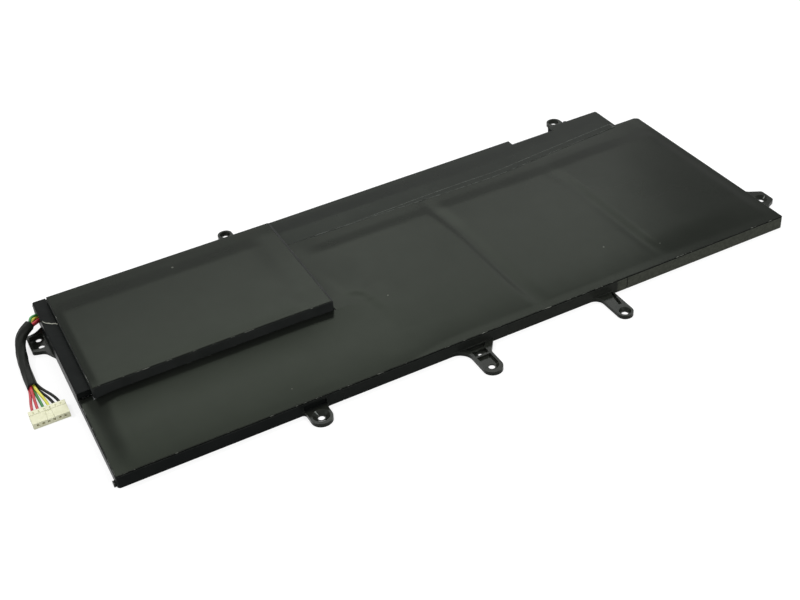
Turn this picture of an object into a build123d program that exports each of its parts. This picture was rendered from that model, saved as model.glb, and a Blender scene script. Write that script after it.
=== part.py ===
from build123d import *
import os
from math import acos, pi, sqrt, tan

# Flat internal battery pack. Millimetres, +X along the pack, +Y to the back, +Z up.
# Everything is drawn from the front left bottom corner and centred when it is written out.

# Pack outline
LENGTH = 280.0
DEPTH = 114.0
BACK_TAPER = 2.8
NOTCH_LENGTH = 12.2
NOTCH_DEPTH = 15.4
NOTCH_CHAMFER = 1.6
RECESS_START = 59.8
RECESS_LENGTH = 21.3
RECESS_DEPTH = 4.0
CORNER_RADIUS = 1.2

# Moulded frame
WALL = 1.2
RIB = 0.8
RAIL = 1.2
STRIP_DEPTH = 21.8
SEAM_BEND = 80.0
BOARD_SEAT = 2.0
WINDOW_DEPTH = 2.4
JOINT_GROOVE = 0.35

# Screw ears
EAR_HEIGHT = 1.6
EAR_FLOOR = 0.5
EAR_RIM = 1.0
EAR_HOLE_R = 1.25
EAR_SEAT_R = 2.7
EAR_SEAT_STEP = 0.35
LEFT_EAR_REACH = 7.0
RIGHT_EAR_REACH = 9.2
FRONT_EAR_REACH = 17.1
BACK_EAR_REACH = 10.6
FRONT_HOLE_REACH = 12.6
FRONT_LEFT_X = 72.2
FRONT_MIDDLE_X = 136.1
FRONT_RIGHT_X = 194.0
BACK_LEFT_X = 84.3
BACK_RIGHT_INSET = 30.4
RIGHT_EAR_Y = 19.2
LEFT_EAR_Y = 91.0
LEFT_HOLE_R = 1.15
LEFT_HOLE_SPACING = 4.6

# Cells, films and sheets
CELL_THICKNESS = 5.0
CELL_CLEARANCE = 0.25
CELL_END_GAP = 1.0
CELL_TERRACE = 6.8
TERRACE_THICKNESS = 0.5
CELL_CORNER = 4.0
CELL_BEVEL = 0.5
CELL_BEVEL_WIDTH = 5.0
PILLOW_MARGIN = 1.0
PILLOW_SKIRT = 2.0
PILLOW_CROWN = 4.0
CROWN_RISE = 0.4
ADHESIVE = 0.1
FILM = 0.2
FILM_INSET = 0.25
FILM_GAP = 0.2
BOTTOM_FILM = 0.25
COVER = 0.3
SHEET = 0.2

# Tabs, board and link
TAB_WIDTH = 4.0
TAB_THICKNESS = 0.15
TAB_SPACING = 15.0
TAB_LENGTH = 13.3
UPPER_TAB_LENGTH = 2.6
PAD_THICKNESS = 0.2
PAD_LENGTH = 4.0
BOARD = 0.8
BOARD_BACK_GAP = 5.6
BOARD_DEPTH = 9.4
HEAD_LENGTH = 38.4
HEAD_EXTRA = 5.2
FOOT_LENGTH = 13.0
FOOT_EXTRA = 1.4
LINK_WIDTH = 2.8

# Raised module and end bar
BAR_WIDTH = 5.3
BAR_HEIGHT = 8.0
BAR_WALL = 1.0
BAR_LENGTH = 62.9
BAR_BACK_GAP = 6.2
MODULE_WALL = 1.0
MODULE_BACK_GAP = 9.0
MODULE_SIDE_GAP = 0.7
MODULE_BACK_ROOM = 6.32
MODULE_END_GAP = 0.6
MODULE_RIM = 0.7
LINK_ROOM = 3.4
TAPE = 0.12

# Cable and plug
WIRE_DIAMETER = 1.1
WIRE_STEP = 0.57
WIRE_LIFT = 1.0
WIRE_LANDING = 9.4
SLEEVE_DIAMETER = 4.2
SLOT_LENGTH = 7.4
SLOT_BACK_GAP = 8.4
SLOT_DROP = 2.3
PLUG_PITCH = 2.0
PLUG_LENGTH = 7.3
PLUG_HEIGHT = 2.7
PLUG_END = 1.75
CAVITY = 1.3
PIN_MOUTH = 0.8
PLUG_LIP = 1.2

# Sizes that follow from the ones above
z_cell = BOTTOM_FILM + ADHESIVE
z_cell_top = z_cell + CELL_THICKNESS
wall_height = z_cell_top - CROWN_RISE
z_sheet_top = z_cell_top + SHEET
z_upper = z_sheet_top + ADHESIVE
z_upper_top = z_upper + CELL_THICKNESS
module_top = z_upper_top - CROWN_RISE
z_board_top = BOARD_SEAT + BOARD
z_tab = z_board_top + PAD_THICKNESS
tab_rise = z_tab - z_cell
end_depth = DEPTH - NOTCH_DEPTH
notch_x = LENGTH - NOTCH_LENGTH
recess_x = LENGTH - RECESS_START
recess_end = recess_x + RECESS_LENGTH
recess_y = DEPTH - RECESS_DEPTH
seam_y = DEPTH - STRIP_DEPTH
seam_x = LENGTH - SEAM_BEND
bay = (LENGTH - 2 * WALL - 4 * RIB) / 5
cell_width = bay - 2 * CELL_CLEARANCE
cell_front = WALL + CELL_END_GAP
cell_total = seam_y - RAIL / 2 - 1.1 - cell_front
cell_body = cell_total - CELL_TERRACE
rib_x = [WALL + (bay + RIB) * (k + 1) - RIB / 2 for k in range(4)]
cell_x = [WALL + (bay + RIB) * k + bay / 2 for k in range(5)]
module_length = 2 * MODULE_WALL + MODULE_END_GAP + cell_total + LINK_ROOM
module_x = BAR_WIDTH
module_end = module_x + module_length
module_back = DEPTH - MODULE_BACK_GAP
module_depth = 2 * MODULE_WALL + MODULE_SIDE_GAP + cell_width + MODULE_BACK_ROOM
module_front = module_back - module_depth
upper_y = module_front + MODULE_WALL + MODULE_SIDE_GAP + cell_width / 2
upper_x = module_x + MODULE_WALL + MODULE_END_GAP
bar_back = DEPTH - BAR_BACK_GAP
bar_front = bar_back - BAR_LENGTH
board_back = DEPTH - BOARD_BACK_GAP
board_front = board_back - BOARD_DEPTH
board_start = WALL + 0.4
board_end = notch_x - WALL - 1.1
pad_front = board_front + 0.6
slot_back = DEPTH - SLOT_BACK_GAP
slot_front = slot_back - SLOT_LENGTH
x_middle = (LENGTH + RIGHT_EAR_REACH - LEFT_EAR_REACH) / 2
y_middle = (DEPTH + BACK_EAR_REACH - FRONT_EAR_REACH) / 2


def block(x0, x1, y0, y1, z0, z1):
    return Pos((x0 + x1) / 2, (y0 + y1) / 2, (z0 + z1) / 2) * Box(x1 - x0, y1 - y0, z1 - z0)


def disc(x, y, r, z0, z1):
    return Pos(x, y, (z0 + z1) / 2) * Cylinder(r, z1 - z0)


def plate(corners, z0, z1):
    """Straight-sided plate; each corner is (x, y) or (x, y, radius)."""
    points = [(c[0], c[1]) for c in corners]
    radii = [c[2] if len(c) > 2 else 0.0 for c in corners]
    if max(radii) > 0:
        wire = FilletPolyline(*points, radius=radii, close=True)
    else:
        wire = Polyline(*points, close=True)
    return Pos(0, 0, z0) * extrude(make_face(wire), z1 - z0)


def back_y(x):
    """Outer face of the back wall, which runs forward a little to the left."""
    return DEPTH - BACK_TAPER * (notch_x - x) / notch_x


def frame_outline(inset):
    """Corners of the tray outline, moved in from the outer face by the inset."""
    i = inset
    r = max(CORNER_RADIUS - i, 0.0)
    c = NOTCH_CHAMFER
    k = i * (sqrt(2) - 1)
    return [
        (i, i, r),
        (LENGTH - i, i, r),
        (LENGTH - i, end_depth - c - k),
        (LENGTH - c - k, end_depth - i),
        (notch_x - i, end_depth - i),
        (notch_x - i, back_y(notch_x) - i, r),
        (recess_end + i, back_y(recess_end) - i),
        (recess_end + i, recess_y - i),
        (recess_x - i, recess_y - i),
        (recess_x - i, back_y(recess_x) - i),
        (i, back_y(0) - i, r),
    ]


# Moulded frame: wall ring, cell ribs, rail, board seats and ears
def wall_ring():
    ring = plate(frame_outline(0.0), 0, wall_height)
    ring -= plate(frame_outline(WALL), -1, wall_height + 1)
    inside = plate(frame_outline(WALL / 2), BOTTOM_FILM, wall_height)
    for x in rib_x:
        ring += block(x - RIB / 2, x + RIB / 2, WALL / 2, seam_y, BOTTOM_FILM, wall_height)
    half = RAIL / 2
    rail = [(WALL / 2, seam_y - half), (seam_x, seam_y - half), (notch_x, end_depth - half)]
    rail += [(notch_x, end_depth + half), (seam_x, seam_y + half), (WALL / 2, seam_y + half)]
    ring += plate(rail, BOTTOM_FILM, wall_height) & inside
    for x in cell_x:
        for side in (-1, 1):
            wx = x + side * TAB_SPACING / 2
            w = TAB_WIDTH / 2 + 0.4
            ring -= block(wx - w, wx + w, seam_y - 2, board_front, wall_height - WINDOW_DEPTH, 9)
    for x in [14.0] + rib_x + [board_end - 3.0]:
        ring += block(x - RIB / 2, x + RIB / 2, seam_y, DEPTH - WALL / 2, BOTTOM_FILM, BOARD_SEAT) & inside
    ring -= block(-1, WALL + 0.01, slot_front, slot_back, wall_height - SLOT_DROP, 9)
    for x in (83.0, 150.6, 204.0):
        ring -= block(x - JOINT_GROOVE / 2, x + JOINT_GROOVE / 2, -1, 0.2, -1, 9)
    ring += block(-0.9, 0.4, 1.4, 3.2, 0, 1.5)
    return ring


def dish(x, y, r):
    """Screw hole at the bottom of a tapered seat."""
    seat = Pos(x, y, (EAR_FLOOR + EAR_HEIGHT) / 2) * Cone(EAR_HOLE_R + EAR_SEAT_STEP, r, EAR_HEIGHT - EAR_FLOOR)
    return seat + disc(x, y, EAR_HOLE_R, -1, EAR_HEIGHT)


def front_left_ear():
    x = FRONT_LEFT_X
    r = 4.1
    y = -9.1
    body = plate([(x - r - 1.6, 0.5), (x - r - 1.6, 0), (x - r, 0, 1.4), (x - r, y, r - 0.05),
                  (x + r, y, r - 0.05), (x + r, 0, 1.4), (x + r + 1.6, 0), (x + r + 1.6, 0.5)], 0, EAR_HEIGHT)
    return body - dish(x, y + r + 0.4, EAR_SEAT_R + 0.5)


def front_middle_ear():
    x = FRONT_MIDDLE_X
    r = 3.8
    end = -FRONT_EAR_REACH
    left = x - r + EAR_RIM
    right = x + r - EAR_RIM
    body = plate([(x - r - 5.6, 0.5), (x - r - 5.6, 0), (x - r, 0, 5.4), (x - r, end, r - 0.05),
                  (x + r, end, r - 0.05), (x + r, -6.0, 2.6), (x + r + 1.9, -3.6, 2.4),
                  (x + r + 4.4, 0), (x + r + 4.4, 0.5)], 0, EAR_HEIGHT)
    body -= block(left, right, -FRONT_HOLE_REACH, -6.8, EAR_FLOOR, 9)
    body -= block(left, right, -6.0, -3.2, EAR_FLOOR, 9)
    body -= plate([(left, -2.6), (right, -2.6, 0.6), (x + r + 1.0, -0.3), (x - r - 0.4, -0.3)], EAR_FLOOR, 9)
    body -= disc(x - 0.1, -4.5, 0.8, -1, 9)
    return body - dish(x, -FRONT_HOLE_REACH, EAR_SEAT_R)


def front_right_ear():
    x = FRONT_RIGHT_X
    r = 3.2
    end = -FRONT_HOLE_REACH - r
    body = plate([(x - r - 3.9, 0.5), (x - r - 3.9, 0), (x - r, 0, 3.6), (x - r, end, r - 0.05),
                  (x + r, end, r - 0.05), (x + r, 0.0), (x + r, 0.5)], 0, EAR_HEIGHT)
    body -= plate([(x + 2.7, -0.4), (x + 2.2, -4.8, 8.0), (x + 1.6, -8.4), (x + 0.2, -8.2),
                   (x + 1.0, -4.2, 8.0), (x + 2.0, -0.4)], EAR_FLOOR, 9)
    return body - dish(x, -FRONT_HOLE_REACH, EAR_SEAT_R - 0.4)


def right_ear():
    x = LENGTH
    y = RIGHT_EAR_Y
    o = x + RIGHT_EAR_REACH
    body = plate([(x - 0.5, y - 6.4), (x, y - 6.4), (x + 5.0, y - 5.4, 1.4), (o, y - 3.4, 2.0), (o, y + 4.0, 1.4),
                  (x + 4.4, y + 6.8, 3.6), (x, y + 11.4), (x - 0.5, y + 11.4)], 0, EAR_HEIGHT)
    body -= block(x + 0.6, x + 2.2, y - 3.8, y + 6.4, EAR_FLOOR, 9)
    return body - dish(x + 5.3, y, EAR_SEAT_R)


def back_left_ear():
    x = BACK_LEFT_X
    r = 3.1
    y = back_y(x)
    o = y + BACK_EAR_REACH
    body = plate([(x - r - 2.4, y - 0.5), (x - r - 2.4, y), (x - r, y, 2.2), (x - r, o, r - 0.05),
                  (x + r, o, r - 0.05), (x + r, y, 2.2), (x + r + 2.4, y), (x + r + 2.4, y - 0.5)], 0, EAR_HEIGHT)
    return body - dish(x, o - r + 0.1, EAR_SEAT_R - 0.5)


def back_right_ear():
    x = LENGTH - BACK_RIGHT_INSET
    r = 3.4
    y = back_y(x)
    o = DEPTH + BACK_EAR_REACH
    body = plate([(x - r - 2.8, y - 0.5), (x - r - 2.8, y), (x - r, y, 2.6), (x - r, o, r - 0.05),
                  (x + r, o, r - 0.05), (x + r, y, 1.2), (x + r + 1.6, y), (x + r + 1.6, y - 0.5)], 0, EAR_HEIGHT)
    body += block(x + r - 0.3, x + r + 1.0, y - 0.5, y + 4.4, 0, EAR_HEIGHT + 0.8)
    body -= block(x - r + EAR_RIM, x + r - EAR_RIM, y + 0.6, y + 3.6, EAR_FLOOR, 9)
    return body - dish(x, o - r + 0.4, EAR_SEAT_R - 0.3)


def left_ear():
    y = LEFT_EAR_Y
    o = -LEFT_EAR_REACH
    body = plate([(0.5, y - 12.0), (0, y - 12.0), (-2.6, y - 6.9, 3.4), (o, y - 5.4, 1.3), (o, y + 5.2, 1.5),
                  (-2.9, y + 6.2, 2.6), (0, y + 8.5), (0.5, y + 8.5)], 0, EAR_HEIGHT)
    body -= plate([(o + EAR_RIM, y - 4.4, 0.8), (-0.8, y - 4.8, 0.8), (-0.8, y + 4.8, 0.8),
                   (o + EAR_RIM, y + 4.2, 0.8)], EAR_FLOOR, 9)
    for side in (-1, 1):
        body -= disc(-2.9, y + side * LEFT_HOLE_SPACING / 2, LEFT_HOLE_R, -1, 9)
    return body


frame = wall_ring()
frame -= block(FRONT_LEFT_X - 4.5, FRONT_LEFT_X + 4.5, -1, 0.8, EAR_FLOOR, 4.2)
for ear in (front_left_ear, front_middle_ear, front_right_ear, right_ear, back_left_ear, back_right_ear, left_ear):
    frame += ear()


# Pouch cell, drawn with its front end at y = 0 and its terrace at the far end
def bevelled(width, length, cut, height, bevel, bevel_width):
    """Slab with cut corners standing on z = 0, with a wide shallow bevel round its top."""
    w = width / 2
    d = length / 2
    corners = [(-w + cut, -d), (w - cut, -d), (w, -d + cut), (w, d - cut),
               (w - cut, d), (-w + cut, d), (-w, d - cut), (-w, -d + cut)]
    slab = plate(corners, 0, height)
    top = slab.faces().sort_by(Axis.Z)[-1]
    return chamfer(top.edges(), length=bevel_width, length2=bevel, reference=top)


def pouch_cell():
    body = bevelled(cell_width, cell_body, CELL_CORNER, CELL_THICKNESS, CELL_BEVEL, CELL_BEVEL_WIDTH)
    z = tab_rise + TAB_THICKNESS / 2
    h = TERRACE_THICKNESS / 2
    w = cell_width / 2 - 0.6
    return Pos(0, cell_body / 2, 0) * body + block(-w, w, cell_body - 1.0, cell_total, z - h, z + h)


def cell_tab(side, length):
    x = side * TAB_SPACING / 2
    return block(x - TAB_WIDTH / 2, x + TAB_WIDTH / 2, cell_total, cell_total + length,
                 tab_rise, tab_rise + TAB_THICKNESS)


cell = pouch_cell()
lower_places = [Pos(x, cell_front, z_cell) for x in cell_x]
upper_place = Pos(upper_x, upper_y, z_upper) * Rot(0, 0, -90)
cells = [place * cell for place in lower_places]
upper_cell = upper_place * cell
aluminium_tabs = [place * cell_tab(-1, TAB_LENGTH) for place in lower_places]
aluminium_tabs += [upper_place * cell_tab(-1, UPPER_TAB_LENGTH)]
nickel_tabs = [place * cell_tab(1, TAB_LENGTH) for place in lower_places]
nickel_tabs += [upper_place * cell_tab(1, UPPER_TAB_LENGTH)]


# Adhesive pads under the cells
def adhesive_pad():
    return Pos(0, cell_body / 2, -ADHESIVE / 2) * Box(cell_width - 8, cell_body - 12, ADHESIVE)


adhesive = [place * adhesive_pad() for place in lower_places] + [upper_place * adhesive_pad()]

# Underside film
bottom_film = plate(frame_outline(WALL + 0.05), 0, BOTTOM_FILM)


# Pillowed film over the lower cells
def pillow(x, y, width, length, z):
    """Two shallow steps that swell over a cell from the height z."""
    w = width + 2 * PILLOW_MARGIN
    d = length + 2 * PILLOW_MARGIN
    shrink = 2 - sqrt(2)
    cut = CELL_CORNER + shrink * PILLOW_MARGIN
    s = PILLOW_SKIRT
    low = 0.7 * CROWN_RISE
    sunk = 0.05
    skirt = bevelled(w, d, cut, low + sunk, low, s)
    crown = bevelled(w - 2 * s, d - 2 * s, cut - shrink * s, CROWN_RISE + sunk, CROWN_RISE - low, PILLOW_CROWN)
    return Pos(x, y, z - sunk) * (skirt + crown)


def pillowed(corners, z, places):
    """Film with a pillow over each cell place (x, y, width, length)."""
    film = plate(corners, z, z + FILM)
    for p in places:
        film += pillow(*p, z + FILM)
    for p in places:
        film -= pillow(*p, z)
    return film & plate(corners, z - 1, z + 3)


g = FILM_INSET
film_edge = [(g, g, 1.0), (LENGTH - g, g, 1.0), (LENGTH - g, end_depth - NOTCH_CHAMFER),
             (LENGTH - NOTCH_CHAMFER, end_depth - g), (notch_x, end_depth - g), (seam_x, seam_y),
             (module_end + FILM_GAP, seam_y), (module_end + FILM_GAP, module_front - FILM_GAP),
             (module_x - FILM_GAP, module_front - FILM_GAP), (module_x - FILM_GAP, bar_front - FILM_GAP),
             (g, bar_front - FILM_GAP)]
body_y = cell_front + cell_body / 2
top_film = pillowed(film_edge, wall_height, [(x, body_y, cell_width, cell_body) for x in cell_x])

# Flat cover over the electronics strip
e = FILM_GAP / 2
strip_edge = [(g, bar_back + FILM_GAP), (module_x + FILM_GAP, bar_back + FILM_GAP),
              (module_x + FILM_GAP, module_back + FILM_GAP), (module_end + FILM_GAP, module_back + FILM_GAP),
              (module_end + FILM_GAP, seam_y + e), (seam_x, seam_y + e), (notch_x - g, end_depth + e),
              (notch_x - g, back_y(notch_x) - g, 1.0), (recess_end + g, back_y(recess_end) - g),
              (recess_end + g, recess_y - g), (recess_x - g, recess_y - g), (recess_x - g, back_y(recess_x) - g),
              (g, back_y(0) - g, 1.0)]
strip_cover = plate(strip_edge, wall_height, wall_height + COVER)


# Raised module: wall frame, film and the sheet under it
def rectangle(x0, x1, y0, y1, r):
    return [(x0, y0, r), (x1, y0, r), (x1, y1, r), (x0, y1, r)]


module_frame = plate(rectangle(module_x, module_end, module_front, module_back, 1.0), z_sheet_top, module_top)
w = MODULE_WALL
module_frame -= block(module_x + w, module_end - w, module_front + w, module_back - w, 0, 99)
module_edge = rectangle(module_x + 0.1, module_end - MODULE_RIM, module_front + 0.1, module_back - 0.1, 0.9)
module_body = (upper_x + cell_body / 2, upper_y, cell_body, cell_width)
module_film = pillowed(module_edge, module_top, [module_body])
link_x = upper_x + cell_total + 0.2
link_y = pad_front
insulation = block(module_x + FILM_GAP, module_end - FILM_GAP, module_front + FILM_GAP, module_back - FILM_GAP,
                   z_cell_top, z_sheet_top)
insulation -= block(link_x - 0.3, link_x + LINK_WIDTH + 0.3, link_y - 0.4, link_y + 0.6, 0, 99)

# End bar: hollow bar over the left wall, open to the wires
end_bar = block(0, BAR_WIDTH, bar_front, bar_back, z_sheet_top, BAR_HEIGHT)
end_bar -= block(BAR_WALL, BAR_WIDTH - BAR_WALL, bar_front + BAR_WALL, bar_back - BAR_WALL, 0,
                 BAR_HEIGHT - BAR_WALL)
end_bar += block(0, BAR_WALL, bar_front, bar_back, wall_height, BAR_HEIGHT)
end_bar -= block(-1, BAR_WALL + 0.01, slot_front, slot_back, 0, BAR_HEIGHT - BAR_WALL)
end_bar -= block(BAR_WIDTH - BAR_WALL - 0.01, BAR_WIDTH + 1, slot_front, slot_back, 0, z_sheet_top + 0.6)
bar_edges = end_bar.edges().filter_by(Axis.Y).group_by(Axis.Z)[-1]
end_bar = chamfer(bar_edges.sort_by(Axis.X)[0], 0.4)
exit_tape = plate([(0.5, bar_back - 14.3), (1.8, bar_back - 18.2), (5.2, bar_back - 19.3), (5.2, bar_back - 0.2),
                   (0.5, bar_back - 0.2)],
                  BAR_HEIGHT, BAR_HEIGHT + TAPE)

# Protection board and what it carries
head_front = board_front - HEAD_EXTRA
foot_end = board_start + FOOT_LENGTH
board_corners = [(board_start, head_front), (board_start + HEAD_LENGTH, head_front),
                 (board_start + HEAD_LENGTH, board_front), (board_end, board_front), (board_end, board_back),
                 (foot_end, board_back), (foot_end, board_back + FOOT_EXTRA), (board_start, board_back + FOOT_EXTRA)]
circuit_board = plate(board_corners, BOARD_SEAT, z_board_top)
weld_pads = []
for x in cell_x:
    for side in (-1, 1):
        px = x + side * TAB_SPACING / 2
        weld_pads.append(block(px - 2.2, px + 2.2, pad_front, pad_front + PAD_LENGTH, z_board_top, z_tab))


def chip(x, y, width, depth, height):
    return block(x - width / 2, x + width / 2, y - depth / 2, y + depth / 2, z_board_top, z_board_top + height)


row_y = board_back - 2.2
first = cell_x[0]
mosfets = [chip(first + 20 + 6.5 * k, row_y, 3.3, 3.3, 1.0) for k in range(4)]
gauge_chip = chip(first, board_front + 0.2, 5.0, 4.4, 0.9)
sense_resistor = chip(first + 50, row_y, 6.3, 3.2, 0.7)
fuse = chip(first + 60, row_y, 4.0, 3.0, 1.0)
chip_parts = [chip(first - 4 + 2.2 * k, row_y, 1.0, 2.0, 0.6) for k in range(8)]
third = cell_x[2]
bead_z = z_cell + tab_rise + TAB_THICKNESS / 2 + TERRACE_THICKNESS / 2
thermistor = block(third - 0.9, third + 0.9, cell_front + cell_total - 3.2, cell_front + cell_total - 0.4,
                   bead_z, bead_z + 0.9)
for side in (-1, 1):
    lead = third + side * 0.6
    thermistor += block(lead - 0.15, lead + 0.15, cell_front + cell_total - 1.0, board_front + 1.2,
                        bead_z, bead_z + 0.2)
    thermistor += block(lead - 0.15, lead + 0.15, board_front + 0.7, board_front + 1.2, z_board_top, bead_z + 0.1)
frame -= block(third - 1.4, third + 1.4, seam_y - 2, seam_y + 2, wall_height - WINDOW_DEPTH, 9)

# Flexible link from the upper cell's tabs down to the board
z_link = z_upper + tab_rise
t = PAD_THICKNESS
link_start = upper_y - TAB_SPACING / 2 - TAB_WIDTH / 2 - 0.5
flex_link = block(link_x, link_x + LINK_WIDTH, link_start, link_y + t, z_link - t, z_link)
flex_link += block(link_x, link_x + LINK_WIDTH, link_y, link_y + t, z_tab, z_link)
flex_link += block(link_x, link_x + LINK_WIDTH, link_y, link_y + PAD_LENGTH, z_tab, z_tab + t)
weld_pads.append(block(link_x - 0.2, link_x + LINK_WIDTH + 0.2, link_y, link_y + PAD_LENGTH, z_board_top, z_tab))

# Cable: sleeved bundle of six wires from the slot to the plug
wire_low = wall_height + 0.2
sleeve_z = wire_low + WIRE_LIFT / 2
mouth_y = slot_back - 8.2
sleeve_r = SLEEVE_DIAMETER / 2
route = [(-4.2, mouth_y, sleeve_z), (-8.8, mouth_y - 4.2, sleeve_z), (-10.9, mouth_y - 11.5, sleeve_r + 1.5),
         (-12.0, mouth_y - 22.0, sleeve_r), (-12.0, mouth_y - 33.4, sleeve_r)]


def bends(points):
    """Largest easy radius at each inner point of a route."""
    out = []
    for a, b, c in zip(points[:-2], points[1:-1], points[2:]):
        u = Vector(*b) - Vector(*a)
        v = Vector(*c) - Vector(*b)
        turn = acos(max(-1.0, min(1.0, u.dot(v) / (u.length * v.length))))
        out.append(0.45 * min(u.length, v.length) / tan(turn / 2))
    return out


sleeve_radii = bends(route)
sleeve_path = FilletPolyline(*route, radius=sleeve_radii)
cable_sleeve = sweep(Plane(sleeve_path @ 0, z_dir=sleeve_path % 0) * Circle(sleeve_r), path=sleeve_path)
print("cable_sleeve bend radii", [round(r, 1) for r in sleeve_radii], "length", round(sleeve_path.length, 2))
print("cable_sleeve volume", round(cable_sleeve.volume, 1),
      "section x length", round(pi * sleeve_r ** 2 * sleeve_path.length, 1))


def straight_wire(start, end, extra):
    """Straight run of wire that goes past both ends, to be cut off flush."""
    run = (end - start).normalized()
    return extrude(Plane(start - run * extra, z_dir=run) * Circle(WIRE_DIAMETER / 2), (end - start).length + 2 * extra)


mouth = Vector(*route[0])
tail = Vector(*route[-1])
out = (Vector(*route[1]) - mouth).normalized()
across = Vector(-out.Y, out.X, 0)
inside_mouth = Plane(mouth, z_dir=-out) * Pos(0, 0, 20) * Box(40, 40, 40)
wire_z = PLUG_HEIGHT / 2
plug_back = tail.Y - 12.7
plug_x = [tail.X - 3.45 + PLUG_PITCH * k for k in range(6)]
slope = (wire_low - z_board_top) / WIRE_LANDING
wire_names = ["wire_red_1", "wire_red_2", "wire_green", "wire_yellow", "wire_black_1", "wire_black_2"]
wires = {}
for k, name in enumerate(wire_names):
    aside = WIRE_STEP * (2.5 - k)
    lift = WIRE_LIFT * ((k % 2) - 0.5)
    start = mouth + across * aside + Vector(0, 0, lift)
    reach = (start.Z - z_board_top) / slope
    landing = start - out * reach - Vector(0, 0, slope * reach)
    exit_wire = straight_wire(start, landing, 4.0) & inside_mouth
    exit_wire -= block(-30, 40, 0, DEPTH, -9, z_board_top)
    begin = tail + Vector(-aside, 0, lift)
    finish = Vector(plug_x[k], plug_back, wire_z)
    fan = straight_wire(begin, finish, 2.0) & block(-30, 0, plug_back, tail.Y, -9, 9)
    print(name, "exit length", round((landing - start).length, 1), "fan length", round((finish - begin).length, 1))
    wires[name] = [exit_wire, fan]


# Plug and its contacts
plug_left = plug_x[0] - PLUG_END
plug_right = plug_x[-1] + PLUG_END
plug_front = plug_back - PLUG_LENGTH
plug_housing = block(plug_left, plug_right, plug_front, plug_back, 0, PLUG_HEIGHT)
plug_housing -= block(plug_left - 1, plug_right + 1, plug_front - 1, plug_back - 2.4, PLUG_HEIGHT - 0.2, 9)
middle = (plug_left + plug_right) / 2
plug_housing -= block(middle - 1.2, middle + 1.2, plug_front - 1, plug_back - 2.4, PLUG_HEIGHT - 0.4, 9)
plug_contacts = []
c = CAVITY / 2
m = PIN_MOUTH / 2
for x in plug_x:
    plug_housing -= block(x - c, x + c, plug_front + PLUG_LIP, plug_back + 1, wire_z - c, wire_z + c)
    plug_housing -= block(x - m, x + m, plug_front - 1, plug_back - 3, wire_z - m, wire_z + m)
    plug_housing -= block(x - 0.25, x + 0.25, plug_back - 2.0, plug_back - 1.0, PLUG_HEIGHT - 0.35, 9)
    plug_contacts.append(block(x - 0.5, x + 0.5, plug_front + PLUG_LIP, plug_back, wire_z - c, wire_z + 0.5))

# One file for each node
nodes = {
    "frame": frame, "end_bar": end_bar, "module_frame": module_frame, "bottom_film": bottom_film,
    "top_film": top_film, "strip_cover": strip_cover, "module_film": module_film, "exit_tape": exit_tape,
    "upper_cell": upper_cell, "aluminium_tabs": aluminium_tabs, "nickel_tabs": nickel_tabs,
    "weld_pads": weld_pads, "flex_link": flex_link, "circuit_board": circuit_board, "mosfets": mosfets,
    "gauge_chip": gauge_chip, "sense_resistor": sense_resistor, "fuse": fuse, "thermistor": thermistor,
    "chip_parts": chip_parts, "insulation_sheet": insulation, "cell_adhesive": adhesive,
    "cable_sleeve": cable_sleeve, "plug_housing": plug_housing, "plug_contacts": plug_contacts,
}
for k, solid in enumerate(cells):
    nodes["cell_" + str(k + 1)] = solid
nodes.update(wires)

os.makedirs("parts", exist_ok=True)
for name, shape in nodes.items():
    pieces = shape if isinstance(shape, list) else [shape]
    solids = [s for piece in pieces for s in piece.solids()]
    placed = Pos(-x_middle, -y_middle, 0) * Compound(children=solids)
    placed.label = name
    export_step(placed, os.path.join("parts", name + ".step"))
    print(name, len(solids), "solids", round(sum(s.volume for s in solids), 2), "mm3")
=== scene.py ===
from math import cos, pi, radians, sin

import bpy
import bmesh
import numpy as np
from mathutils import Matrix, Quaternion, Vector, noise


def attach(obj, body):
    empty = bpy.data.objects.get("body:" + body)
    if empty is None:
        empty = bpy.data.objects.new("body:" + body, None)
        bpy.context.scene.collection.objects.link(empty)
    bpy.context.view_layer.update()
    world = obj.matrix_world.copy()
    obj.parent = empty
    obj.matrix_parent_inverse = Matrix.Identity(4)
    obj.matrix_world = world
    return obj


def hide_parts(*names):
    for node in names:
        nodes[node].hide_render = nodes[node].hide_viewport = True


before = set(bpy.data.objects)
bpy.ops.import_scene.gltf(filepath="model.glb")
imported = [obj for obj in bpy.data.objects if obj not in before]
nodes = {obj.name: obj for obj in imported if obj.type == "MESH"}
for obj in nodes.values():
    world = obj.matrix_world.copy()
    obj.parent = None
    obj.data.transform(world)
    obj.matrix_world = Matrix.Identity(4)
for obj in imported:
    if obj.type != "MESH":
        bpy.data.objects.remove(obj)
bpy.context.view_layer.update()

scene = bpy.context.scene

# Places on the pack are in millimetres from the front left bottom corner of the tray
X_MIDDLE = 141.1
Y_MIDDLE = 53.75


def at(x, y, z):
    """A place on the pack in metres, in the shared frame."""
    return Vector(((x - X_MIDDLE) / 1000, (y - Y_MIDDLE) / 1000, z / 1000))


def add_object(name, data):
    obj = bpy.data.objects.new(name, data)
    scene.collection.objects.link(obj)
    return obj


def mesh_object(name, bm):
    mesh = bpy.data.meshes.new(name)
    bm.to_mesh(mesh)
    bm.free()
    return add_object(name, mesh)


def thicken(obj, thickness):
    """Gives a sheet a thickness in millimetres, below its drawn face."""
    thick = obj.modifiers.new("thickness", "SOLIDIFY")
    thick.thickness = thickness / 1000
    thick.offset = -1


# Camera at the photograph's viewing angle: radians, and pixels of a frame 800 wide
CAMERA_PLACE = (-33.447, -311.012, 293.318)
CAMERA_YAW = 0.4269
CAMERA_PITCH = 0.6490
CAMERA_ROLL = -0.0877
FRAME_WIDTH = 800
FOCAL_PIXELS = 1250.79
SENSOR_WIDTH = 36


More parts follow.
